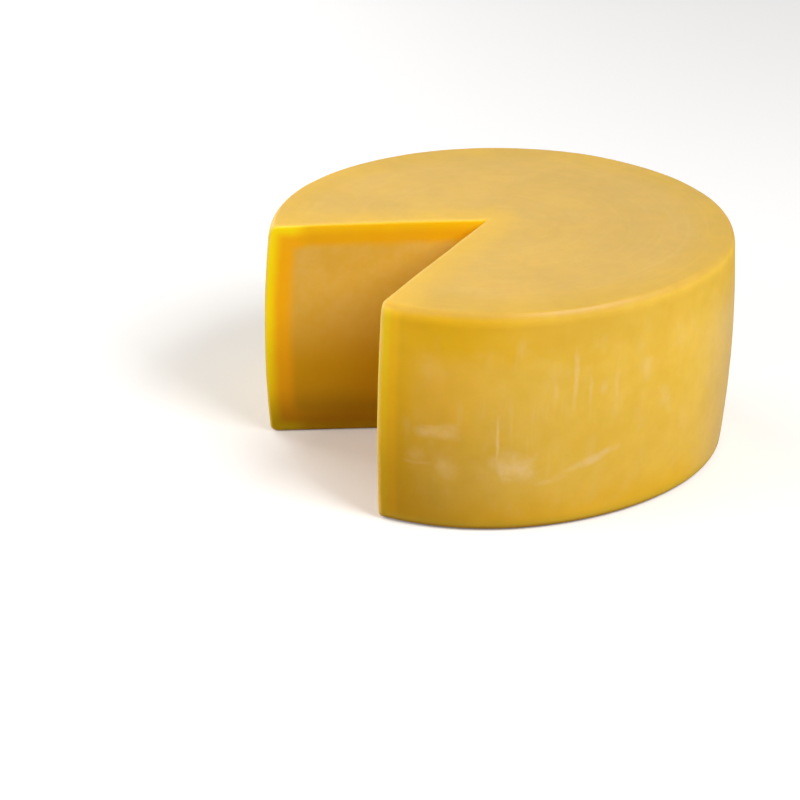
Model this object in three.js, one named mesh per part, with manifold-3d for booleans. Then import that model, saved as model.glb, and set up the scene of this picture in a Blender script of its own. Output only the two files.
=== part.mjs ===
// A wheel of smooth yellow cheese with one wedge cut out of it, in millimetres, +Z up.
// The origin is on the wheel's axis, in the flat underside that it stands on.
// Seen from the front, +X is to the right and +Y points away from the viewer.

import * as THREE from "three";
import { mergeVertices } from "three/addons/utils/BufferGeometryUtils.js";
import Module from "manifold-3d";

const wasm = await Module();
wasm.setup();

// Size of the wheel
const wheelRadius = 120;
const wheelHeight = 121.2;

// The wall: a slight barrel with rounded edges above and below
const wallBulge = 3;
const shoulderWidth = 3.8;
const shoulderHeight = 8.7;
const heelRadius = 4;

// The top rises a little towards the middle
const crownHeight = 1.4;

// The wheel was pressed out of round: each wave has its share of the radius,
// its number of high spots and the bearing of the first one, in degrees
const waves = [
  { share: 0.0425, count: 2, bearing: 22.2 },
  { share: 0.0074, count: 3, bearing: 8.8 },
  { share: 0.0033, count: 4, bearing: -7.4 },
];

// The wedge that was cut out: where both cuts meet, and the bearing of each cut, in degrees
const apex = new THREE.Vector2(-7.3, 2.6);
const shadedCutBearing = 187.8;
const hiddenCutBearing = 244.9;

// How finely the curves are divided
const stepsRound = 132;
const stepsUpWall = 10;
const stepsPerEdge = 5;
const stepsAcrossTop = 4;

// How far the cutting wedge runs past the wheel
const cutterMargin = 30;

// Radius of the wall at a height, before the wheel is put out of round
function wallRadius(z) {
  const t = z / wheelHeight;
  return wheelRadius + wallBulge * (4 * t * (1 - t) - 0.5);
}

// Half the outline of the upright wheel, from the axis below to the axis above
function wheelProfile() {
  const heelTop = heelRadius;
  const shoulderFoot = wheelHeight - shoulderHeight;
  const points = [new THREE.Vector2(0, 0)];
  for (let i = 0; i < stepsPerEdge; i += 1) {
    const turn = (i / stepsPerEdge) * (Math.PI / 2);
    const radius = wallRadius(heelTop) - heelRadius * (1 - Math.sin(turn));
    points.push(new THREE.Vector2(radius, heelRadius * (1 - Math.cos(turn))));
  }
  for (let i = 0; i < stepsUpWall; i += 1) {
    const z = heelTop + (i / stepsUpWall) * (shoulderFoot - heelTop);
    points.push(new THREE.Vector2(wallRadius(z), z));
  }
  const shoulderRadius = wallRadius(shoulderFoot);
  for (let i = 0; i < stepsPerEdge; i += 1) {
    const turn = (i / stepsPerEdge) * (Math.PI / 2);
    const radius = shoulderRadius - shoulderWidth * (1 - Math.cos(turn));
    points.push(new THREE.Vector2(radius, shoulderFoot + shoulderHeight * Math.sin(turn)));
  }
  const topRadius = shoulderRadius - shoulderWidth;
  for (let i = 0; i < stepsAcrossTop; i += 1) {
    const share = 1 - i / stepsAcrossTop;
    points.push(new THREE.Vector2(topRadius * share, wheelHeight + crownHeight * (1 - share * share)));
  }
  points.push(new THREE.Vector2(0, wheelHeight + crownHeight));
  return points;
}

// How much longer than round the wheel is in a direction
function outOfRound(angle) {
  let scale = 1;
  for (const wave of waves) {
    scale += wave.share * Math.cos(wave.count * (angle - THREE.MathUtils.degToRad(wave.bearing)));
  }
  return scale;
}

// A closed geometry as a solid that can be cut
function toSolid(geometry) {
  const bare = geometry.clone();
  bare.deleteAttribute("normal");
  bare.deleteAttribute("uv");
  const merged = mergeVertices(bare, 1e-4);
  return new wasm.Manifold(
    new wasm.Mesh({
      numProp: 3,
      vertProperties: new Float32Array(merged.attributes.position.array),
      triVerts: new Uint32Array(merged.index.array),
    }),
  );
}

// A cut solid as a geometry that can be shown
function toGeometry(solid) {
  const mesh = solid.getMesh();
  const geometry = new THREE.BufferGeometry();
  geometry.setAttribute("position", new THREE.BufferAttribute(mesh.vertProperties, 3));
  geometry.setIndex(new THREE.BufferAttribute(mesh.triVerts, 1));
  geometry.computeVertexNormals();
  return geometry;
}

// The whole wheel, turned from its profile and then put out of round
function wholeWheel() {
  const geometry = new THREE.LatheGeometry(wheelProfile(), stepsRound);
  geometry.rotateX(Math.PI / 2);
  const position = geometry.attributes.position;
  for (let i = 0; i < position.count; i += 1) {
    const x = position.getX(i);
    const y = position.getY(i);
    const scale = outOfRound(Math.atan2(y, x));
    position.setXY(i, x * scale, y * scale);
  }
  return toSolid(geometry);
}

// The upright wedge between the two cuts, taller and longer than the wheel
function missingWedge() {
  const reach = 2 * wheelRadius;
  const outline = new THREE.Shape([apex]);
  for (const bearing of [shadedCutBearing, hiddenCutBearing]) {
    const angle = THREE.MathUtils.degToRad(bearing);
    outline.lineTo(apex.x + reach * Math.cos(angle), apex.y + reach * Math.sin(angle));
  }
  const depth = wheelHeight + 2 * cutterMargin;
  const geometry = new THREE.ExtrudeGeometry(outline, { depth, bevelEnabled: false });
  geometry.translate(0, 0, -cutterMargin);
  return toSolid(geometry);
}

const cheese = new THREE.Mesh(
  toGeometry(wholeWheel().subtract(missingWedge())),
  new THREE.MeshStandardMaterial({ color: 0xe6b83c, roughness: 0.45, metalness: 0 }),
);
cheese.name = "cheese_wheel";

const group = new THREE.Group();
group.add(cheese);

export default group;
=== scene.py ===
# A wheel of smooth yellow cheese with one wedge cut out of it, dressed for its picture.
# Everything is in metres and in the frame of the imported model: the wheel's axis is the Z axis,
# its flat underside is at z = 0, and the front is towards -Y.

import math

import bmesh
import bpy
from mathutils import Matrix, Vector, noise
from mathutils.geometry import intersect_point_line


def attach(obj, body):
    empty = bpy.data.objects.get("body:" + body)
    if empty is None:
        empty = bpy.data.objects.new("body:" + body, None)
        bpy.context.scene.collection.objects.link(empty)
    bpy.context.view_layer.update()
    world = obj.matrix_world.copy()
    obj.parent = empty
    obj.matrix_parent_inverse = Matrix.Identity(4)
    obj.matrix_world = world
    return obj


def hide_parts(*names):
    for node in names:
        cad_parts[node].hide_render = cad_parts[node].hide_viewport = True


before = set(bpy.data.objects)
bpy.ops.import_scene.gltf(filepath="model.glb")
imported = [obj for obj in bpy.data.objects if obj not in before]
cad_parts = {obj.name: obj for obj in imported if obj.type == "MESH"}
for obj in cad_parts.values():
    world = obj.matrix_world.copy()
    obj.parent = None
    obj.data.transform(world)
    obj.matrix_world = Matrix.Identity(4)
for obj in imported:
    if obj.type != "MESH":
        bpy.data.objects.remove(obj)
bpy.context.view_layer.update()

# Size of the wheel
WHEEL_RADIUS = 0.120
WHEEL_HEIGHT = 0.1212

# The wall is a slight barrel with rounded edges above and below
WALL_BULGE = 0.003
SHOULDER_WIDTH = 0.0038
SHOULDER_HEIGHT = 0.0087
HEEL_RADIUS = 0.004

# The top rises a little towards the middle
CROWN_HEIGHT = 0.0014

# The wheel was pressed out of round: each wave has its share of the radius,
# its number of high spots and the bearing of the first one, in degrees
WAVES = ((0.0425, 2, 22.2), (0.0074, 3, 8.8), (0.0033, 4, -7.4))

# The wedge that was cut out: where both cuts meet, and the bearing of each cut, in degrees
APEX = Vector((-0.0073, 0.0026))
SHADED_CUT_BEARING = 187.8
HIDDEN_CUT_BEARING = 244.9

# The knife left the edges of both cuts softly rounded
LIP_RADIUS = 0.0014
LIP_STEPS = 3

# How finely the half section is divided: across it, and up the wall
COLUMNS_ACROSS = 44
COLUMNS_PER_EDGE = 5
ROWS_UP_WALL = 58
ROWS_PER_HEEL = 4
ROWS_PER_SHOULDER = 9

# How many steps the section takes on its way round, and how far from the axis it is turned
STEPS_ROUND = 340
STEPS_PER_STRETCH = 20
TURNING_CLEARANCE = 0.01

# Rounds that find where a ray meets the wheel's outline, and how near to each other bearings and
# points count as the same
RAY_ROUNDS = 5
BEARING_TOLERANCE = 0.001
MERGE_DISTANCE = 1e-7

# Inside this share of the radius the section's points close up evenly on the cuts' meeting line
CORE_SHARE = 0.9

# The section starts as a flat grid about the origin
GRID_HALF_WIDTH = 0.5

# Points are put in order along a skew line, on which no two have the same place
ORDER_LINE = Vector((1.0, 7.3, 53.1))
MOST_POINTS = 100000

# Place of the paste among the piece's materials, after the rind
PASTE_INDEX = 1

# Low relief of the rind and of the cut faces, as heights and widths.
# The knife drew the relief of the cuts out sideways.
RIND_SWELL = 0.00028
RIND_SWELL_WIDTH = 0.045
RIND_DENT = 0.00012
RIND_DENT_WIDTH = 0.014
CUT_RELIEF = 0.00012
CUT_RELIEF_WIDTH = 0.020
CUT_RELIEF_STRETCH = 3
RELIEF_FADE_HEIGHT = 0.006

# Bearing opposite the missing wedge, where the count round the wheel starts
SEAM_TURN = math.radians((SHADED_CUT_BEARING + HIDDEN_CUT_BEARING) / 2 - 180.0)

# Colours of the wall: near its upper edge, its bloom, painted light on the bloom near the front
# cut, a painted reflection of the white surroundings on the far side, a painted glow beside the
# cuts, and tints for its far upper edge and, as painted shade, for its lower part
RIND_DEEP = (0.87, 0.530, 0.004)
RIND_BLOOM = (0.88, 0.600, 0.080)
RIND_PAINTED_LIGHT = (0.93, 0.565, 0.042)
RIND_FAR_REFLECTION = (0.79, 0.580, 0.200)
RIND_GLOW_AT_CUT = (1.00, 0.700, 0.002)
RIND_ORANGE_GLOW_AT_CUT = (1.00, 0.600, 0.002)
RIND_FAR_RIM_TINT = (0.92, 0.90, 0.80)
RIND_PAINTED_SHADE_LOW = (0.66, 0.62, 0.48)
# A painted shade along the foot of the wall, and its strength
RIND_PAINTED_FOOT_SHADE = (0.62, 0.455, 0.030)
RIND_PAINTED_FOOT_SHADE_SHARE = 0.9

# Colours of the top, darker and lighter, of a painted glow on the top beside the cuts, of rubbed
# places and of the lips along the cuts, whose paleness is partly painted highlight
TOP_DARKER = (0.645, 0.404, 0.085)
TOP_LIGHTER = (0.765, 0.475, 0.092)
TOP_GLOW_BESIDE_CUT = (0.84, 0.515, 0.055)
TOP_GLOW_BESIDE_CUT_SHARE = 0.7
TOP_RING_TINT = (1.00, 0.98, 0.62)
SCUFF_COLOUR = (0.94, 0.71, 0.30)
LIP_AND_HIGHLIGHT_COLOUR = (0.96, 0.73, 0.20)

# The share of the lighter colour on the top, painted light that grows towards the left: on the axis,
# its growth a metre, and its clouds
TOP_MIDDLE = 0.5
TOP_PAINTED_LIGHT_TILT = (-4.2, 0.3, 0.0)
TOP_CLOUDS = 0.15

# Zones of the rind by distance from the nearer cut: where each begins and where it ends
YELLOW_GLOW_AT_CUT = (0.0040, 0.0080)
ORANGE_GLOW_AT_CUT = (0.0085, 0.0130)
DEEP_AT_CUT = (0.013, 0.032)
PAINTED_LIGHT_AT_CUT = (0.020, 0.075)
PAINTED_SHADE_LOW_AT_CUT = (0.0, 0.100)
FAR_FROM_CUT = (0.030, 0.110)
TOP_GLOW_AT_CUT = (0.003, 0.024)
UNMARKED_AT_CUT = (0.009, 0.019)

# Zones of the rind by height
PAINTED_FOOT_SHADE_HEIGHTS = (0.0005, 0.0080)
FOOT_HEIGHTS = (0.002, 0.030)
PAINTED_SHADE_LOW_HEIGHTS = (0.0, 0.105)
PAINTED_LIGHT_HEIGHTS = (0.010, 0.090)
RIM_HEIGHTS = (WHEEL_HEIGHT - 0.032, WHEEL_HEIGHT - 0.014)
FAR_REFLECTION_HEIGHTS = (0.080, 0.115)
FAR_RIM_HEIGHTS = (0.085, 0.110)
TOP_HEIGHTS = (WHEEL_HEIGHT - 0.0042, WHEEL_HEIGHT - 0.0004)
UNMARKED_BASE = (0.004, 0.014)
UNMARKED_RIM = (WHEEL_HEIGHT - 0.020, WHEEL_HEIGHT - 0.009)

# Bearings between which the far side's painted reflection comes in, and those between which it goes, in
# degrees
FAR_REFLECTION_COMES = (325.0, 352.0)
FAR_REFLECTION_GOES = (5.0, 60.0)

# The deeper ring round the top, by distance from the axis
TOP_RING = (0.090, 0.113)

# The bloom's share at the base and how clouds change it, and how its upper border wanders
BLOOM_AT_BASE = 0.25
BLOOM_CLOUDS = (0.75, 1.15)
RIM_WANDER = 0.022
RIM_WANDER_SCALE = 38.0

# Clouds of the rind, and how dark and how light they make it
RIND_CLOUD_SCALE = 26.0
RIND_CLOUD_SHADE = (0.955, 1.03)

# Faint brushed arcs on the top: fine across, long round the wheel
ARC_SCALE = (16.0, 16.0, 300.0)
ARC_LEVELS = (0.45, 0.80)
ARC_STRENGTH = 0.08

# Pale lips of the rind, partly rough cut edge and partly painted highlight: width, and strength on
# the wall and on the top
RIND_LIP_WIDTH = 0.0030
RIND_LIP_AND_HIGHLIGHT_SHARES = (0.8, 0.20)

# Colours of the paste: the body, its lower part darkened as painted shade, a painted shade at its
# foot, its zones under the top and under the wall, the yellow zone under the wall brightened by a
# painted glow, and a painted shade for the zones of the hidden cut, which meets more light
PASTE_DARKER = (0.735, 0.445, 0.050)
PASTE_LIGHTER = (0.775, 0.490, 0.088)
PASTE_PAINTED_SHADE = (0.72, 0.395, 0.003)
PASTE_FOOT_PAINTED_SHADE = (0.60, 0.56, 0.50)
TOP_ZONE = (0.90, 0.560, 0.001)
TOP_ZONE_ORANGE = (0.84, 0.440, 0.001)
WALL_ZONE_AND_GLOW = (1.00, 0.790, 0.001)
WALL_ZONE_ORANGE = (0.93, 0.465, 0.001)
HIDDEN_ZONE_PAINTED_SHADE = (0.95, 0.84, 1.00)

# Zones of the paste: by distance from its edges, by distance from the axis, and by height, the
# last for its painted shade
PASTE_YELLOW_DEPTHS = (0.0015, 0.0085)
PASTE_ORANGE_DEPTHS = (0.0105, 0.0175)
UNDER_WALL = (0.097, 0.108)
PASTE_PAINTED_SHADE_HEIGHTS = (0.035, 0.080)
PASTE_FOOT_SHADE_HEIGHTS = (0.003, 0.030)

# How the zones wander, and by what the distance from the edges is multiplied under the top and
# under the wall
ZONE_WANDER = 0.003
ZONE_WANDER_SCALE = 45.0
DEPTH_SCALES = (1.15, 1.0)

# Clouds of the paste
PASTE_CLOUD_SCALE = 40.0
PASTE_CLOUD_FINE_SHARE = 0.5

# Pale lips of the paste, partly rough cut edge and partly painted highlight: width, and strength
# along the top and along the wall
PASTE_LIP_WIDTH = 0.0014
PASTE_LIP_AND_HIGHLIGHT_SHARES = (0.15, 0.5)

# Clouds: how much finer the fine ones are, their share unless a material gives its own, and the
# tones at which clouds are dark and light
CLOUD_FINENESS = 4.7
CLOUD_FINE_SHARE = 0.35
CLOUD_LEVELS = (0.30, 0.70)

# Lips: how their width wanders, and from which share of it they fade
LIP_WANDER_SCALE = 90.0
LIP_WANDER = (0.75, 1.3)
LIP_FADE = (0.35, 1.0)

# Waxy grain: the finer for the paste, how coarse the slow waves are, and the depth of the bump
RIND_GRAIN_SCALE = 420.0
PASTE_GRAIN_SCALE = 520.0
GRAIN_SLOWNESS = 0.12
GRAIN_FINE_SHARE = 0.4
GRAIN_GLOSS_LEVELS = (0.3, 0.7)
GRAIN_DEPTH = 0.0004
RIND_BUMP = 0.25
PASTE_BUMP = 0.3

# Gloss: roughness where the grain is smooth and where it is dull, and how dull rubbing makes it
RIND_ROUGHNESS = (0.44, 0.53)
RUBBED_ROUGHNESS = 0.15
PASTE_ROUGHNESS = (0.42, 0.54)
RIND_SPECULAR = 0.4
PASTE_SPECULAR = 0.3
SHEEN_WEIGHT = 0.03
SHEEN_ROUGHNESS = 0.4
SHEEN_TINT = (1.0, 0.93, 0.80, 1.0)

# Light goes a little way into the cheese: how much of it, and how far for red, green and blue
SUBSURFACE_WEIGHT = 0.5
SUBSURFACE_RADIUS = (0.0050, 0.0030, 0.0006)

# Pale rubbed marks on the wall: bearing in degrees, height, half width, half height, tilt in
# degrees, and strength
RUBBED_MARKS = (
    (290.5, 0.082, 0.0024, 0.024, 0, 0.62),
    (294.4, 0.078, 0.0018, 0.019, 0, 0.42),
    (302.3, 0.079, 0.0022, 0.016, 0, 0.42),
    (298.0, 0.077, 0.0045, 0.007, 0, 0.48),
    (285.0, 0.080, 0.0030, 0.020, 0, 0.30),
    (271.1, 0.052, 0.0013, 0.021, 0, 0.75),
    (275.3, 0.039, 0.0150, 0.016, 0, 0.70),
    (274.5, 0.031, 0.0060, 0.006, 20, 0.60),
    (294.1, 0.036, 0.0230, 0.0042, 17, 0.65),
    (284.0, 0.028, 0.0160, 0.0030, 5, 0.40),
    (256.7, 0.056, 0.0130, 0.0060, 0, 0.50),
    (256.7, 0.0595, 0.0110, 0.0014, 0, 0.40),
    (251.0, 0.038, 0.0080, 0.0022, 0, 0.30),
    (257.8, 0.036, 0.0090, 0.0090, 25, 0.38),
    (311.6, 0.082, 0.0090, 0.0090, 0, 0.40),
    (318.0, 0.060, 0.0070, 0.0120, 35, 0.30),
)

# The outlines of those marks are ragged, and all marks are broken up
RAGGED_SCALE = 80.0
RAGGED_REACH = (2.0, 1.8, 0.0)
MARK_FADE = (0.1, 1.0)
BROKEN_SCALE = 170.0
BROKEN_SHARES = (0.0, 1.8)

# Fainter marks all round: upright streaks where there are patches of them, and blots
STREAK_SCALE = (210.0, 24.0, 0.0)
STREAK_LEVELS = (0.48, 0.80)
STREAK_STRENGTH = 0.50
PATCH_SCALE = 26.0
PATCH_LEVELS = (0.44, 0.70)
PATCH_HEIGHTS = (0.020, 0.045)
BLOT_SCALE = (70.0, 38.0, 0.0)
BLOT_LEVELS = (0.48, 0.78)
BLOT_STRENGTH = 0.24

# Lights: name, degrees to the right of the front, degrees up, distance, size and power
LIGHT_TARGET = Vector((0.0, 0.0, 0.06))
SOFTBOXES = (
    ("right_softbox", 55, 45, 1.6, 0.9, 26.0),
    ("left_softbox", -75, 20, 1.6, 0.9, 6.2),
    ("front_left_softbox", -50, 30, 0.6, 0.4, 0.75),
    ("back_left_softbox", -130, 20, 1.2, 0.8, 8.6),
)

# The white surroundings: the light they give, and how bright they show in the gloss
WORLD_LIGHT = 0.12
WORLD_IN_GLOSS = 0.60

# The floor: its colour as seen and for the light it throws back, and a glow that grows with the
# distance and blends it into the surroundings
FLOOR_HALF_WIDTH = 4.0
FLOOR_GAP = 0.0003
FLOOR_ROUGHNESS = 0.7
FLOOR_COLOUR = (0.92, 0.91, 0.90)
FLOOR_BOUNCE = (0.34, 0.21, 0.11)
FLOOR_GLOW_NEAR = 0.14
FLOOR_GLOW_FAR = 0.90
FLOOR_GLOW_DISTANCES = (0.45, 3.2)

# The camera, in the place that the photograph was taken from
CAMERA_PLACE = Vector((0.0, -1.316138, 0.668947))
CAMERA_YAW = -0.03926366
CAMERA_PITCH = 0.46058905
CAMERA_ROLL = 0.01735499
CAMERA_LENS = 120.99
SENSOR_WIDTH = 36.0
CAMERA_NEAREST = 0.05
CAMERA_FARTHEST = 50.0


# Shape of the wheel

def wall_radius(height):
    share = height / WHEEL_HEIGHT
    return WHEEL_RADIUS + WALL_BULGE * (4 * share * (1 - share) - 0.5)


SHOULDER_FOOT = WHEEL_HEIGHT - SHOULDER_HEIGHT
TOP_RADIUS = wall_radius(SHOULDER_FOOT) - SHOULDER_WIDTH
CORE_RADIUS = CORE_SHARE * WHEEL_RADIUS


def crowned_height(radius):
    share = min(1.0, radius / TOP_RADIUS)
    return WHEEL_HEIGHT + CROWN_HEIGHT * (1 - share * share)


def heel_point(turn):
    radius = wall_radius(HEEL_RADIUS) - HEEL_RADIUS * (1 - math.sin(turn))
    return Vector((radius, HEEL_RADIUS * (1 - math.cos(turn))))


def shoulder_point(turn):
    radius = TOP_RADIUS + SHOULDER_WIDTH * math.cos(turn)
    return Vector((radius, SHOULDER_FOOT + SHOULDER_HEIGHT * math.sin(turn)))


def steps(count, start, end):
    return [start + (end - start) * index / count for index in range(count)]


# The three borders of the half section: underside and top from the axis outwards, wall upwards.
# They meet halfway round the heel and halfway round the shoulder.

def section_borders():
    quarter = math.pi / 2
    underside = [Vector((radius, 0.0)) for radius in steps(COLUMNS_ACROSS, 0.0, heel_point(0.0).x)]
    underside += [heel_point(turn) for turn in steps(COLUMNS_PER_EDGE, 0.0, quarter / 2)]
    underside.append(heel_point(quarter / 2))
    top = [Vector((radius, crowned_height(radius))) for radius in steps(COLUMNS_ACROSS, 0.0, TOP_RADIUS)]
    top += [shoulder_point(turn) for turn in steps(COLUMNS_PER_EDGE, quarter, quarter / 2)]
    top.append(shoulder_point(quarter / 2))
    wall = [heel_point(turn) for turn in steps(ROWS_PER_HEEL, quarter / 2, quarter)]
    upright = steps(ROWS_UP_WALL, HEEL_RADIUS, SHOULDER_FOOT)
    wall += [Vector((wall_radius(height), height)) for height in upright]
    wall += [shoulder_point(turn) for turn in steps(ROWS_PER_SHOULDER, 0.0, quarter / 2)]
    wall.append(shoulder_point(quarter / 2))
    return underside, wall, top


# A point of the half section, filled in evenly between its borders

def section_point(borders, column, row):
    underside, wall, top = borders
    across = underside[column].x / underside[-1].x
    upward = (wall[row].y - wall[0].y) / (wall[-1].y - wall[0].y)
    axis_point = Vector((0.0, upward * top[0].y))
    between_flats = underside[column] * (1 - upward) + top[column] * upward
    between_uprights = axis_point * (1 - across) + wall[row] * across
    corners_below = underside[0] * (1 - across) + underside[-1] * across
    corners_above = top[0] * (1 - across) + top[-1] * across
    corners = corners_below * (1 - upward) + corners_above * upward
    return between_flats + between_uprights - corners


# The section's outer outline as one path, each point with its outward direction

def section_outline(borders):
    underside, wall, top = borders
    path = underside + wall[1:-1] + top[::-1]
    outward = []
    for index, point in enumerate(path):
        before = path[max(0, index - 1)]
        after = path[min(len(path) - 1, index + 1)]
        along = (after - before).normalized()
        outward.append(Vector((along.y, -along.x)))
    outward[0] = Vector((0.0, -1.0))
    outward[-1] = Vector((0.0, 1.0))
    return path, outward


# The nearest place on the outline: the place, its outward direction and how deep the point lies

def below_outline(point, path, outward):
    nearest = None
    for index in range(len(path) - 1):
        share = intersect_point_line(point, path[index], path[index + 1])[1]
        share = min(1.0, max(0.0, share))
        foot = path[index].lerp(path[index + 1], share)
        depth = (point - foot).length
        if nearest is None or depth < nearest[0]:
            nearest = (depth, foot, index, share)
    depth, foot, index, share = nearest
    return foot, outward[index].lerp(outward[index + 1], share).normalized(), depth


def out_of_round(angle):
    scale = 1.0
    for share, count, bearing in WAVES:
        scale += share * math.cos(count * (angle - math.radians(bearing)))
    return scale


def direction(bearing):
    return Vector((math.cos(bearing), math.sin(bearing)))


# How far it is from a place inside the wheel to the contour of a nominal radius

def ray_length(start, heading, radius):
    length = radius
    along = start.dot(heading)
    for _ in range(RAY_ROUNDS):
        place = start + heading * length
        reach = radius * out_of_round(math.atan2(place.y, place.x))
        length = math.sqrt(reach * reach - start.length_squared + along * along) - along
    return length


# Stands a point of the section on a ray that leaves a place near the axis

def place_in_wheel(point, start, heading):
    if point.x >= CORE_RADIUS:
        flat = start + heading * ray_length(start, heading, point.x)
        return Vector((flat.x, flat.y, point.y))
    share = point.x / CORE_RADIUS
    flat = start + heading * (ray_length(start, heading, CORE_RADIUS) * share)
    true_radius = flat.length / out_of_round(math.atan2(flat.y, flat.x))
    height = point.y * crowned_height(true_radius) / crowned_height(point.x)
    return Vector((flat.x, flat.y, height))


# Distance on plan from a place to the nearer cut

def distance_to_cuts(place):
    nearest = WHEEL_RADIUS
    for bearing in (SHADED_CUT_BEARING, HIDDEN_CUT_BEARING):
        heading = direction(math.radians(bearing))
        along = max(0.0, (place - APEX).dot(heading))
        nearest = min(nearest, (place - APEX - heading * along).length)
    return nearest


# The half section on both cuts, and its outline turned from one to the other round the axis.
# Every point keeps its column and row in the section.

def turned_section(bm):
    borders = section_borders()
    columns = len(borders[0]) - 1
    rows = len(borders[1]) - 1
    bmesh.ops.create_grid(bm, x_segments=columns, y_segments=rows, size=GRID_HALF_WIDTH)
    column_layer = bm.verts.layers.int.new("column")
    row_layer = bm.verts.layers.int.new("row")
    for vert in bm.verts:
        column = round((vert.co.x + GRID_HALF_WIDTH) * columns)
        row = round((vert.co.y + GRID_HALF_WIDTH) * rows)
        vert[column_layer] = column
        vert[row_layer] = row
        point = section_point(borders, column, row)
        vert.co = Vector((TURNING_CLEARANCE + point.x, 0.0, point.y))
    for face in bm.faces:
        face.material_index = PASTE_INDEX
    start = math.radians(HIDDEN_CUT_BEARING)
    turn = math.radians(SHADED_CUT_BEARING + 360.0) - start
    bmesh.ops.rotate(bm, verts=bm.verts, cent=(0, 0, 0), matrix=Matrix.Rotation(start, 3, "Z"))
    first_cut = bm.verts[:] + bm.edges[:] + bm.faces[:]
    second_cut = bmesh.ops.duplicate(bm, geom=first_cut)["geom"]
    second_verts = [part for part in second_cut if isinstance(part, bmesh.types.BMVert)]
    bmesh.ops.rotate(bm, verts=second_verts, cent=(0, 0, 0), matrix=Matrix.Rotation(turn, 3, "Z"))
    outline_edges = [
        part for part in first_cut
        if isinstance(part, bmesh.types.BMEdge) and part.is_boundary
        and max(vert[column_layer] for vert in part.verts) > 0
    ]
    outline_verts = list(dict.fromkeys(vert for edge in outline_edges for vert in edge.verts))
    both_cuts = set(first_cut + second_cut)
    outline = bmesh.ops.duplicate(bm, geom=outline_edges + outline_verts)["geom"]
    stretch = turn * STEPS_PER_STRETCH / STEPS_ROUND
    bmesh.ops.spin(
        bm, geom=outline, cent=(0, 0, 0), axis=(0, 0, 1), angle=stretch, steps=STEPS_PER_STRETCH,
        use_merge=False, use_duplicate=False,
    )
    first_stretch = [part for part in bm.verts[:] + bm.edges[:] + bm.faces[:] if part not in both_cuts]
    bmesh.ops.spin(
        bm, geom=first_stretch, cent=(0, 0, 0), axis=(0, 0, 1), angle=turn - stretch,
        steps=STEPS_ROUND // STEPS_PER_STRETCH - 1, use_merge=False, use_duplicate=True,
    )
    for face in bm.faces:
        face.smooth = True
    return borders, column_layer, row_layer


# Every point of the turned section goes to its place in the wheel, the edges of the cuts rounded

def shape_wheel(bm, borders, column_layer, row_layer, edge_layer, radius_layer):
    columns = len(borders[0]) - 1
    rows = len(borders[1]) - 1
    path, outward = section_outline(borders)
    start = math.radians(HIDDEN_CUT_BEARING)
    end = math.radians(SHADED_CUT_BEARING + 360.0)
    bisector = direction((start + end - 2 * math.pi) / 2)
    half_wedge = (start + 2 * math.pi - end) / 2
    pole = APEX - bisector * (LIP_RADIUS / math.sin(half_wedge))
    found = {}
    for vert in bm.verts:
        column = vert[column_layer]
        row = vert[row_layer]
        on_outline = row in (0, rows) or column == columns
        if (column, row) not in found:
            point = section_point(borders, column, row)
            found[column, row] = (point, *below_outline(point, path, outward))
        point, foot, facing, depth = found[column, row]
        bearing = math.atan2(vert.co.y, vert.co.x) % (2 * math.pi)
        if bearing < start - BEARING_TOLERANCE:
            bearing += 2 * math.pi
        station = round((bearing - start) / (end - start) * STEPS_ROUND)
        steps_in = min(station, STEPS_ROUND - station)
        if on_outline:
            share = min(1.0, steps_in / LIP_STEPS)
            turn = (1 + share) * math.pi / 4
            inward = LIP_RADIUS * (1 - math.cos(turn))
            point = foot - facing * (LIP_RADIUS * (1 - math.sin(turn)))
        elif depth < LIP_RADIUS:
            turn = (1 + depth / LIP_RADIUS) * math.pi / 4
            inward = LIP_RADIUS * (1 - math.sin(turn))
            point = foot - facing * (LIP_RADIUS * (1 - math.cos(turn)))
        else:
            inward = 0.0
        if column == 0:
            point = Vector((0.0, point.y))
        if steps_in <= LIP_STEPS:
            heading = direction(start if station < STEPS_ROUND / 2 else end)
        else:
            share = (station - LIP_STEPS) / (STEPS_ROUND - 2 * LIP_STEPS)
            heading = direction(start + (end - start) * share)
        vert.co = place_in_wheel(point, APEX.lerp(pole, inward / LIP_RADIUS), heading)
        if steps_in == 0:
            vert[edge_layer] = depth
        else:
            vert[edge_layer] = distance_to_cuts(vert.co.xy)
        vert[radius_layer] = vert.co.xy.length / out_of_round(math.atan2(vert.co.y, vert.co.x))


# How far the surface stands proud at a place: long swells and small dents on the rind,
# faint drags of the knife on the cut faces

def relief(place, on_cut):
    if on_cut:
        along_x = place.x / CUT_RELIEF_STRETCH
        along_y = place.y / CUT_RELIEF_STRETCH
        stretched = Vector((along_x, along_y, place.z)) / CUT_RELIEF_WIDTH
        height = CUT_RELIEF * noise.noise(stretched)
    else:
        height = RIND_SWELL * noise.noise(place / RIND_SWELL_WIDTH)
        height += RIND_DENT * noise.noise(place / RIND_DENT_WIDTH)
    fade = min(1.0, max(0.0, place.z / RELIEF_FADE_HEIGHT))
    return height * fade


# A number that puts the faces in the order of their points

def face_order(face):
    first, second, third = sorted(vert.index for vert in face.verts)[:3]
    return (first * MOST_POINTS + second) * MOST_POINTS + third


# The finished mesh keeps the distance from the cuts and the radius for the materials.
# Spinning leaves points and faces in a chance order, so they are sorted.

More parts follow.
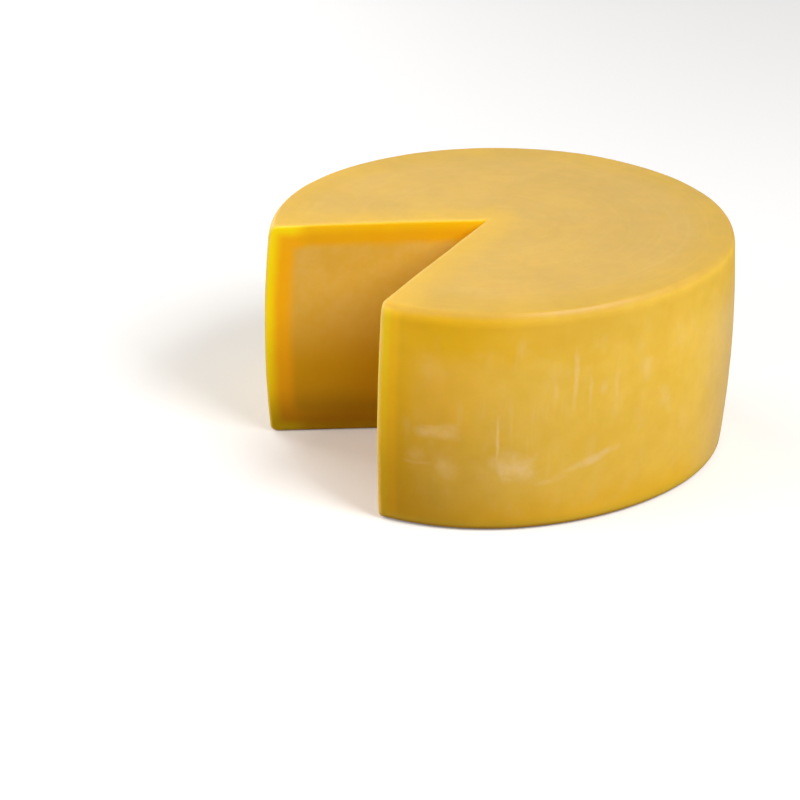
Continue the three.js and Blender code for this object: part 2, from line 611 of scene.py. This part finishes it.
def build_cheese(rind, paste):
    bm = bmesh.new()
    borders, column_layer, row_layer = turned_section(bm)
    edge_layer = bm.verts.layers.float.new("edge_distance")
    radius_layer = bm.verts.layers.float.new("rounded_radius")
    shape_wheel(bm, borders, column_layer, row_layer, edge_layer, radius_layer)
    bmesh.ops.remove_doubles(bm, verts=bm.verts, dist=MERGE_DISTANCE)
    bmesh.ops.recalc_face_normals(bm, faces=bm.faces)
    bm.normal_update()
    moves = []
    for vert in bm.verts:
        on_cut = all(face.material_index == PASTE_INDEX for face in vert.link_faces)
        moves.append(vert.normal * relief(vert.co, on_cut))
    for vert, move in zip(bm.verts, moves):
        vert.co += move
    bm.verts.sort(key=lambda vert: vert.co.dot(ORDER_LINE))
    bm.verts.index_update()
    bm.faces.sort(key=face_order)
    bm.verts.layers.int.remove(bm.verts.layers.int["column"])
    bm.verts.layers.int.remove(bm.verts.layers.int["row"])
    mesh = bpy.data.meshes.new("cheese")
    bm.to_mesh(mesh)
    bm.free()
    mesh.materials.append(rind)
    mesh.materials.append(paste)
    piece = bpy.data.objects.new("cheese", mesh)
    bpy.context.scene.collection.objects.link(piece)
    return piece


# Small helpers for materials

# Links a socket to a named input, or sets a plain value there

def feed(tree, node, name, value):
    if isinstance(value, bpy.types.NodeSocket):
        tree.links.new(value, node.inputs[name])
    else:
        node.inputs[name].default_value = value


def add_node(tree, kind, inputs=(), **settings):
    node = tree.nodes.new(kind)
    for name, value in settings.items():
        setattr(node, name, value)
    for name, value in dict(inputs).items():
        feed(tree, node, name, value)
    return node


def maths(tree, operation, first, second=0.0, clamp=False):
    node = add_node(tree, "ShaderNodeMath", {0: first, 1: second}, operation=operation, use_clamp=clamp)
    return node.outputs[0]


def times(tree, first, second, clamp=False):
    return maths(tree, "MULTIPLY", first, second, clamp)


def vector_maths(tree, operation, first, second):
    node = add_node(tree, "ShaderNodeVectorMath", {0: first, 1: second}, operation=operation)
    return node.outputs["Value" if operation in ("LENGTH", "DOT_PRODUCT") else "Vector"]


def split(tree, vector):
    return add_node(tree, "ShaderNodeSeparateXYZ", {0: vector}).outputs


def join(tree, first, second, third):
    return add_node(tree, "ShaderNodeCombineXYZ", {0: first, 1: second, 2: third}).outputs[0]


# 0 below the first level, 1 above the second, and smooth between them

def rise(tree, value, low, high):
    node = add_node(
        tree, "ShaderNodeMapRange", {"Value": value, "From Min": low, "From Max": high},
        interpolation_type="SMOOTHSTEP",
    )
    return node.outputs["Result"]


# 1 below the first level, 0 above the second, and smooth between them

def fall(tree, value, low, high):
    node = add_node(
        tree, "ShaderNodeMapRange",
        {"Value": value, "From Min": low, "From Max": high, "To Min": 1.0, "To Max": 0.0},
        interpolation_type="SMOOTHSTEP",
    )
    return node.outputs["Result"]


def lerp_value(tree, share, low, high):
    node = add_node(tree, "ShaderNodeMapRange", {"Value": share, "To Min": low, "To Max": high})
    return node.outputs["Result"]


# Turns a value between 0 and 1 into a swing of this width about nothing

def swing(tree, value, width):
    return times(tree, maths(tree, "SUBTRACT", value, 0.5), width)


# The Mix node has sockets of the same name for each kind of data, so they go by their numbers

def mix_colours(tree, share, first, second, blend="MIX"):
    node = add_node(tree, "ShaderNodeMix", data_type="RGBA", blend_type=blend)
    share_socket, first_socket, second_socket = (node.inputs[index] for index in (0, 6, 7))
    for socket, value in ((share_socket, share), (first_socket, first), (second_socket, second)):
        if isinstance(value, bpy.types.NodeSocket):
            tree.links.new(value, socket)
        else:
            socket.default_value = value if socket is share_socket else (*value, 1.0)
    return node.outputs[2]


def noise_value(tree, place, scale, detail=2.0, roughness=0.5):
    node = add_node(
        tree, "ShaderNodeTexNoise",
        {"Vector": place, "Scale": scale, "Detail": detail, "Roughness": roughness},
    )
    return node.outputs["Fac"]


def new_group(name, inputs, outputs):
    tree = bpy.data.node_groups.new(name, "ShaderNodeTree")
    for socket, kind, value in inputs:
        made = tree.interface.new_socket(socket, in_out="INPUT", socket_type=kind)
        if value is not None:
            made.default_value = value
    for socket, kind in outputs:
        tree.interface.new_socket(socket, in_out="OUTPUT", socket_type=kind)
    source = tree.nodes.new("NodeGroupInput").outputs
    result = tree.nodes.new("NodeGroupOutput").inputs
    return tree, source, result


def use_group(tree, group, inputs=()):
    node = add_node(tree, "ShaderNodeGroup", node_tree=group)
    for name, value in dict(inputs).items():
        feed(tree, node, name, value)
    return node.outputs


FLOAT = "NodeSocketFloat"
VECTOR = "NodeSocketVector"


# Where a point lies on the wheel: how far round, how high and how far from the axis, in metres,
# the last as if the wheel were round.
# The count round the wheel starts opposite the missing wedge, so that its seam falls in the gap.

def make_wheel_places():
    outputs = (("Unrolled", VECTOR), ("Height", FLOAT), ("Radius", FLOAT), ("Object", VECTOR))
    tree, source, result = new_group("wheel_places", (), outputs)
    place = add_node(tree, "ShaderNodeTexCoord").outputs["Object"]
    turned = add_node(tree, "ShaderNodeMapping", {"Vector": place, "Rotation": (0, 0, -SEAM_TURN)})
    parts = split(tree, turned.outputs[0])
    bearing = maths(tree, "ARCTAN2", parts[1], parts[0])
    way_round = times(tree, bearing, WHEEL_RADIUS)
    radius = add_node(tree, "ShaderNodeAttribute", attribute_name="rounded_radius").outputs["Fac"]
    tree.links.new(join(tree, way_round, parts[2], radius), result["Unrolled"])
    tree.links.new(parts[2], result["Height"])
    tree.links.new(radius, result["Radius"])
    tree.links.new(place, result["Object"])
    return tree


# Soft clouds of lighter and darker cheese, broad ones with finer ones in them

def make_clouds():
    inputs = (
        ("Place", VECTOR, None),
        ("Scale", FLOAT, RIND_CLOUD_SCALE),
        ("Fine Share", FLOAT, CLOUD_FINE_SHARE),
    )
    tree, source, result = new_group("cheese_clouds", inputs, (("Tone", FLOAT),))
    broad = noise_value(tree, source["Place"], source["Scale"], detail=2.0)
    fine_scale = times(tree, source["Scale"], CLOUD_FINENESS)
    fine = noise_value(tree, source["Place"], fine_scale, detail=3.0)
    both = {0: source["Fine Share"], 2: broad, 3: fine}
    tone = add_node(tree, "ShaderNodeMix", both, data_type="FLOAT").outputs[0]
    tree.links.new(rise(tree, tone, *CLOUD_LEVELS), result["Tone"])
    return tree


# The soft pale lip that the knife left along the edges of both cuts, its paleness partly painted
# highlight

def make_lip_and_highlight():
    inputs = (("Place", VECTOR, None), ("Width", FLOAT, RIND_LIP_WIDTH))
    tree, source, result = new_group("knife_lip_and_highlight", inputs, (("Lip", FLOAT), ("Edge Distance", FLOAT)))
    edge = add_node(tree, "ShaderNodeAttribute", attribute_name="edge_distance").outputs["Fac"]
    wander = lerp_value(tree, noise_value(tree, source["Place"], LIP_WANDER_SCALE), *LIP_WANDER)
    width = times(tree, source["Width"], wander)
    share = maths(tree, "DIVIDE", edge, width)
    tree.links.new(fall(tree, share, *LIP_FADE), result["Lip"])
    tree.links.new(edge, result["Edge Distance"])
    return tree


# Fine waxy grain, for the bump and for small changes of gloss

def make_grain():
    inputs = (("Place", VECTOR, None), ("Scale", FLOAT, RIND_GRAIN_SCALE))
    tree, source, result = new_group("waxy_grain", inputs, (("Height", FLOAT), ("Gloss", FLOAT)))
    fine = noise_value(tree, source["Place"], source["Scale"], detail=4.0, roughness=0.6)
    slow_scale = times(tree, source["Scale"], GRAIN_SLOWNESS)
    slow = noise_value(tree, source["Place"], slow_scale, detail=2.0)
    height = maths(tree, "ADD", times(tree, fine, GRAIN_FINE_SHARE), slow)
    tree.links.new(height, result["Height"])
    tree.links.new(rise(tree, slow, *GRAIN_GLOSS_LEVELS), result["Gloss"])
    return tree


# How far round the wheel a bearing in degrees is, as the group wheel_places counts it

def metres_round(bearing):
    turned = (bearing - math.degrees(SEAM_TURN) + 180.0) % 360.0 - 180.0
    return math.radians(turned) * WHEEL_RADIUS


def start_material(name):
    material = bpy.data.materials.new(name)
    material.use_nodes = True
    tree = material.node_tree
    return material, tree, tree.nodes["Principled BSDF"]


def set_translucency(shader):
    shader.subsurface_method = "RANDOM_WALK"
    shader.inputs["Subsurface Weight"].default_value = SUBSURFACE_WEIGHT
    shader.inputs["Subsurface Radius"].default_value = SUBSURFACE_RADIUS
    shader.inputs["Subsurface Scale"].default_value = 1.0


def set_sheen(shader):
    shader.inputs["Sheen Weight"].default_value = SHEEN_WEIGHT
    shader.inputs["Sheen Roughness"].default_value = SHEEN_ROUGHNESS
    shader.inputs["Sheen Tint"].default_value = SHEEN_TINT


def add_bump(tree, shader, height, strength):
    inputs = {"Strength": strength, "Distance": GRAIN_DEPTH, "Height": height}
    bump = add_node(tree, "ShaderNodeBump", inputs)
    tree.links.new(bump.outputs["Normal"], shader.inputs["Normal"])


# The wall: deep yellow near its upper edge and near the cuts, with a paler bloom between them;
# beside the cuts a painted glow, high near the front cut painted light, low down and at the foot
# painted shade, and on the far side a painted reflection

def colour_wall(tree, places, edge, tone):
    height = places["Height"]
    way_round = split(tree, places["Unrolled"])[0]
    away_from_cut = rise(tree, edge, *FAR_FROM_CUT)
    wander = swing(tree, noise_value(tree, places["Object"], RIM_WANDER_SCALE), RIM_WANDER)
    below_rim = fall(tree, maths(tree, "ADD", height, wander), *RIM_HEIGHTS)
    below_rim = maths(tree, "MAXIMUM", below_rim, away_from_cut)
    above_base = lerp_value(tree, rise(tree, height, *FOOT_HEIGHTS), BLOOM_AT_BASE, 1.0)
    bloom = times(tree, times(tree, below_rim, above_base), rise(tree, edge, *DEEP_AT_CUT))
    bloom = times(tree, bloom, lerp_value(tree, tone, *BLOOM_CLOUDS), clamp=True)
    wall = mix_colours(tree, bloom, RIND_DEEP, RIND_BLOOM)
    # Painted light: the upper wall near the front cut made lighter
    painted_light = times(tree, fall(tree, edge, *PAINTED_LIGHT_AT_CUT), rise(tree, height, *PAINTED_LIGHT_HEIGHTS))
    wall = mix_colours(tree, times(tree, painted_light, bloom), wall, RIND_PAINTED_LIGHT)
    # Painted reflection: the far side made paler and bluer, as if the white surroundings showed in it
    far_reflection = rise(tree, way_round, *map(metres_round, FAR_REFLECTION_COMES))
    far_reflection = times(tree, far_reflection, fall(tree, way_round, *map(metres_round, FAR_REFLECTION_GOES)))
    far_reflection = times(tree, far_reflection, fall(tree, height, *FAR_REFLECTION_HEIGHTS))
    wall = mix_colours(tree, far_reflection, wall, RIND_FAR_REFLECTION)
    far_rim = times(tree, away_from_cut, rise(tree, height, *FAR_RIM_HEIGHTS))
    wall = mix_colours(tree, far_rim, wall, RIND_FAR_RIM_TINT, "MULTIPLY")
    # Painted glow: yellow and orange bands beside the cuts, as if light shone through the thin corner
    wall = mix_colours(tree, fall(tree, edge, *ORANGE_GLOW_AT_CUT), wall, RIND_ORANGE_GLOW_AT_CUT)
    wall = mix_colours(tree, fall(tree, edge, *YELLOW_GLOW_AT_CUT), wall, RIND_GLOW_AT_CUT)
    # Painted shade: the lower wall near the cuts made darker
    low = times(tree, fall(tree, height, *PAINTED_SHADE_LOW_HEIGHTS), fall(tree, edge, *PAINTED_SHADE_LOW_AT_CUT))
    wall = mix_colours(tree, low, wall, RIND_PAINTED_SHADE_LOW, "MULTIPLY")
    # Painted shade: a soft dark band along the foot of the wall
    painted_foot_shade = times(tree, fall(tree, height, *PAINTED_FOOT_SHADE_HEIGHTS), RIND_PAINTED_FOOT_SHADE_SHARE)
    return mix_colours(tree, painted_foot_shade, wall, RIND_PAINTED_FOOT_SHADE)


# The top: paler, more so to the left as painted light, deeper yellow beside the cuts as a painted
# glow, with faint brushed arcs

def colour_top(tree, places, edge, tone):
    # Painted light: the top made lighter towards the left and back
    tilt = vector_maths(tree, "DOT_PRODUCT", places["Object"], TOP_PAINTED_LIGHT_TILT)
    lit_from_left = maths(tree, "ADD", tilt, TOP_MIDDLE)
    lit_from_left = maths(tree, "ADD", lit_from_left, swing(tree, tone, TOP_CLOUDS), clamp=True)
    top = mix_colours(tree, lit_from_left, TOP_DARKER, TOP_LIGHTER)
    arcs = vector_maths(tree, "MULTIPLY", places["Unrolled"], ARC_SCALE)
    brushed = rise(tree, noise_value(tree, arcs, 1.0, detail=3.0), *ARC_LEVELS)
    top = mix_colours(tree, times(tree, brushed, ARC_STRENGTH), top, SCUFF_COLOUR)
    ring = rise(tree, places["Radius"], *TOP_RING)
    top = mix_colours(tree, ring, top, TOP_RING_TINT, "MULTIPLY")
    # Painted glow: the top deeper yellow and brighter beside the cuts
    glow_beside_cut = times(tree, fall(tree, edge, *TOP_GLOW_AT_CUT), TOP_GLOW_BESIDE_CUT_SHARE)
    return mix_colours(tree, glow_beside_cut, top, TOP_GLOW_BESIDE_CUT)


# One soft mark on the wall, brightest in its middle

def mark_on_wall(tree, flat_place, ragged, bearing, height, half_width, half_height, tilt):
    scaled = add_node(
        tree, "ShaderNodeMapping",
        {
            "Vector": flat_place,
            "Location": (metres_round(bearing), height, 0.0),
            "Rotation": (0.0, 0.0, math.radians(tilt)),
            "Scale": (half_width, half_height, 1.0),
        },
        vector_type="TEXTURE",
    )
    warped = vector_maths(tree, "ADD", scaled.outputs[0], ragged)
    distance = vector_maths(tree, "LENGTH", warped, (0.0, 0.0, 0.0))
    return fall(tree, distance, *MARK_FADE)


# How strongly the wall is rubbed pale: streaks and blots all round, and the RUBBED_MARKS

def rub_wall(tree, places, edge):
    place = places["Object"]
    height = places["Height"]
    flat_place = vector_maths(tree, "MULTIPLY", places["Unrolled"], (1.0, 1.0, 0.0))
    streak_place = vector_maths(tree, "MULTIPLY", flat_place, STREAK_SCALE)
    streaks = rise(tree, noise_value(tree, streak_place, 1.0, detail=2.0), *STREAK_LEVELS)
    patches = rise(tree, noise_value(tree, place, PATCH_SCALE, detail=2.0), *PATCH_LEVELS)
    patches = times(tree, patches, rise(tree, height, *PATCH_HEIGHTS))
    marks = times(tree, times(tree, streaks, patches), STREAK_STRENGTH)
    blot_place = vector_maths(tree, "MULTIPLY", flat_place, BLOT_SCALE)
    blots = rise(tree, noise_value(tree, blot_place, 1.0, detail=5.0, roughness=0.6), *BLOT_LEVELS)
    marks = maths(tree, "MAXIMUM", marks, times(tree, blots, BLOT_STRENGTH))
    ragged = add_node(
        tree, "ShaderNodeTexNoise", {"Vector": place, "Scale": RAGGED_SCALE, "Detail": 4.0},
    )
    ragged = vector_maths(tree, "SUBTRACT", ragged.outputs["Color"], (0.5, 0.5, 0.5))
    ragged = vector_maths(tree, "MULTIPLY", ragged, RAGGED_REACH)
    for *outline, strength in RUBBED_MARKS:
        mark = mark_on_wall(tree, flat_place, ragged, *outline)
        marks = maths(tree, "MAXIMUM", marks, times(tree, mark, strength))
    broken = lerp_value(tree, noise_value(tree, place, BROKEN_SCALE, detail=4.0), *BROKEN_SHARES)
    marks = times(tree, marks, broken, clamp=True)
    between = times(tree, fall(tree, height, *UNMARKED_RIM), rise(tree, height, *UNMARKED_BASE))
    marks = times(tree, marks, between)
    return times(tree, marks, rise(tree, edge, *UNMARKED_AT_CUT))


# The smooth, waxy outside of the wheel

def make_rind(groups):
    material, tree, shader = start_material("waxy_rind")
    places = use_group(tree, groups["places"])
    place = places["Object"]
    lip_outputs = use_group(tree, groups["lip"], {"Place": place, "Width": RIND_LIP_WIDTH})
    edge = lip_outputs["Edge Distance"]
    tone = use_group(tree, groups["clouds"], {"Place": place, "Scale": RIND_CLOUD_SCALE})["Tone"]
    grain = use_group(tree, groups["grain"], {"Place": place})
    wall = colour_wall(tree, places, edge, tone)
    top = colour_top(tree, places, edge, tone)
    top_share = rise(tree, places["Height"], *TOP_HEIGHTS)
    colour = mix_colours(tree, top_share, wall, top)
    marks = rub_wall(tree, places, edge)
    colour = mix_colours(tree, marks, colour, SCUFF_COLOUR)
    shade = lerp_value(tree, tone, *RIND_CLOUD_SHADE)
    colour = mix_colours(tree, 1.0, colour, join(tree, shade, shade, shade), "MULTIPLY")
    # Pale lip along the cuts: rough cut edge and painted highlight
    lip_and_highlight_share = times(tree, lip_outputs["Lip"], lerp_value(tree, top_share, *RIND_LIP_AND_HIGHLIGHT_SHARES))
    colour = mix_colours(tree, lip_and_highlight_share, colour, LIP_AND_HIGHLIGHT_COLOUR)
    tree.links.new(colour, shader.inputs["Base Color"])
    roughness = lerp_value(tree, grain["Gloss"], *RIND_ROUGHNESS)
    roughness = maths(tree, "ADD", roughness, times(tree, marks, RUBBED_ROUGHNESS))
    tree.links.new(roughness, shader.inputs["Roughness"])
    add_bump(tree, shader, grain["Height"], RIND_BUMP)
    shader.inputs["Specular IOR Level"].default_value = RIND_SPECULAR
    set_translucency(shader)
    set_sheen(shader)
    return material


# The paste on the cut faces, deeper yellow where it nears the rind, with painted shade low down
# and at its foot

def make_paste(groups):
    material, tree, shader = start_material("cut_paste")
    places = use_group(tree, groups["places"])
    place = places["Object"]
    lip_outputs = use_group(tree, groups["lip"], {"Place": place, "Width": PASTE_LIP_WIDTH})
    cloud_inputs = {"Place": place, "Scale": PASTE_CLOUD_SCALE, "Fine Share": PASTE_CLOUD_FINE_SHARE}
    tone = use_group(tree, groups["clouds"], cloud_inputs)["Tone"]
    grain = use_group(tree, groups["grain"], {"Place": place, "Scale": PASTE_GRAIN_SCALE})
    under_wall = rise(tree, places["Radius"], *UNDER_WALL)
    wander = swing(tree, noise_value(tree, place, ZONE_WANDER_SCALE), ZONE_WANDER)
    depth = maths(tree, "ADD", lip_outputs["Edge Distance"], wander)
    depth = times(tree, depth, lerp_value(tree, under_wall, *DEPTH_SCALES))
    colour = mix_colours(tree, tone, PASTE_DARKER, PASTE_LIGHTER)
    # Painted shade: the lower part of the cut faces made darker
    colour = mix_colours(tree, fall(tree, places["Height"], *PASTE_PAINTED_SHADE_HEIGHTS), colour, PASTE_PAINTED_SHADE)
    orange = mix_colours(tree, under_wall, TOP_ZONE_ORANGE, WALL_ZONE_ORANGE)
    colour = mix_colours(tree, fall(tree, depth, *PASTE_ORANGE_DEPTHS), colour, orange)
    # The zone under the wall is the cheese's own; its extra brightness over the zone under the top is
    # painted glow
    yellow = mix_colours(tree, under_wall, TOP_ZONE, WALL_ZONE_AND_GLOW)
    # Painted shade: the yellow zones of the hidden cut toned down, as that cut meets more light
    on_hidden_cut = maths(tree, "LESS_THAN", split(tree, places["Unrolled"])[0], 0.0)
    yellow = mix_colours(tree, on_hidden_cut, yellow, HIDDEN_ZONE_PAINTED_SHADE, "MULTIPLY")
    colour = mix_colours(tree, fall(tree, depth, *PASTE_YELLOW_DEPTHS), colour, yellow)
    # Painted shade: the foot of the cut faces made darker
    foot = fall(tree, places["Height"], *PASTE_FOOT_SHADE_HEIGHTS)
    colour = mix_colours(tree, foot, colour, PASTE_FOOT_PAINTED_SHADE, "MULTIPLY")
    # Pale lip along the cuts: rough cut edge and painted highlight
    lip_and_highlight_share = times(tree, lip_outputs["Lip"], lerp_value(tree, under_wall, *PASTE_LIP_AND_HIGHLIGHT_SHARES))
    colour = mix_colours(tree, lip_and_highlight_share, colour, LIP_AND_HIGHLIGHT_COLOUR)
    tree.links.new(colour, shader.inputs["Base Color"])
    roughness = lerp_value(tree, grain["Gloss"], *PASTE_ROUGHNESS)
    tree.links.new(roughness, shader.inputs["Roughness"])
    add_bump(tree, shader, grain["Height"], PASTE_BUMP)
    shader.inputs["Specular IOR Level"].default_value = PASTE_SPECULAR
    set_translucency(shader)
    return material


# Floor, lights and camera

# A pale floor that throws back only a little warm light

def make_floor_material():
    material, tree, shader = start_material("pale_floor")
    shader.inputs["Roughness"].default_value = FLOOR_ROUGHNESS
    seen = add_node(tree, "ShaderNodeLightPath").outputs["Is Camera Ray"]
    colour = mix_colours(tree, seen, FLOOR_BOUNCE, FLOOR_COLOUR)
    tree.links.new(colour, shader.inputs["Base Color"])
    shader.inputs["Emission Color"].default_value = (*FLOOR_COLOUR, 1.0)
    place = add_node(tree, "ShaderNodeTexCoord").outputs["Object"]
    distance = vector_maths(tree, "LENGTH", place, (0.0, 0.0, 0.0))
    far_away = rise(tree, distance, *FLOOR_GLOW_DISTANCES)
    glow = times(tree, seen, lerp_value(tree, far_away, FLOOR_GLOW_NEAR, FLOOR_GLOW_FAR))
    tree.links.new(glow, shader.inputs["Emission Strength"])
    return material


def add_floor():
    bm = bmesh.new()
    bmesh.ops.create_grid(bm, x_segments=1, y_segments=1, size=FLOOR_HALF_WIDTH)
    bmesh.ops.translate(bm, verts=bm.verts, vec=(0.0, 0.0, -FLOOR_GAP))
    mesh = bpy.data.meshes.new("floor")
    bm.to_mesh(mesh)
    bm.free()
    mesh.materials.append(make_floor_material())
    floor = bpy.data.objects.new("floor", mesh)
    bpy.context.scene.collection.objects.link(floor)


# A square softbox in a direction: degrees to the right of the front, and degrees up

def add_softbox(name, azimuth, elevation, distance, size, power):
    data = bpy.data.lights.new(name, "AREA")
    data.shape = "SQUARE"
    data.size = size
    data.energy = power
    azimuth = math.radians(azimuth)
    elevation = math.radians(elevation)
    heading = Vector((
        math.sin(azimuth) * math.cos(elevation),
        -math.cos(azimuth) * math.cos(elevation),
        math.sin(elevation),
    ))
    light = bpy.data.objects.new(name, data)
    light.location = LIGHT_TARGET + heading * distance
    light.rotation_euler = (-heading).to_track_quat("-Z", "Y").to_euler()
    light.visible_camera = False
    bpy.context.scene.collection.objects.link(light)


def add_camera():
    data = bpy.data.cameras.new("camera")
    data.sensor_width = SENSOR_WIDTH
    data.lens = CAMERA_LENS
    data.clip_start = CAMERA_NEAREST
    data.clip_end = CAMERA_FARTHEST
    camera = bpy.data.objects.new("camera", data)
    turn = Matrix.Rotation(-CAMERA_YAW, 4, "Z")
    turn = turn @ Matrix.Rotation(math.pi / 2 - CAMERA_PITCH, 4, "X")
    turn = turn @ Matrix.Rotation(CAMERA_ROLL, 4, "Z")
    camera.matrix_world = Matrix.Translation(CAMERA_PLACE) @ turn
    bpy.context.scene.collection.objects.link(camera)
    bpy.context.scene.camera = camera


# White surroundings that show in the gloss, and give only a little light of their own

def add_world():
    world = bpy.data.worlds.new("studio")
    world.use_nodes = True
    tree = world.node_tree
    background = tree.nodes["Background"]
    rays = add_node(tree, "ShaderNodeLightPath").outputs
    strength = lerp_value(tree, rays["Is Glossy Ray"], WORLD_LIGHT, WORLD_IN_GLOSS)
    strength = maths(tree, "MAXIMUM", strength, rays["Is Camera Ray"])
    tree.links.new(strength, background.inputs["Strength"])
    background.inputs["Color"].default_value = (1.0, 1.0, 1.0, 1.0)
    bpy.context.scene.world = world


add_camera()
add_world()
add_floor()
for softbox in SOFTBOXES:
    add_softbox(*softbox)

groups = {
    "places": make_wheel_places(),
    "clouds": make_clouds(),
    "lip": make_lip_and_highlight(),
    "grain": make_grain(),
}
cheese = build_cheese(make_rind(groups), make_paste(groups))
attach(cheese, "root")
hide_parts("cheese_wheel")

bpy.context.scene.view_settings.view_transform = "Standard"
bpy.context.scene.view_settings.look = "None"
bpy.context.scene.cycles.use_denoising = True
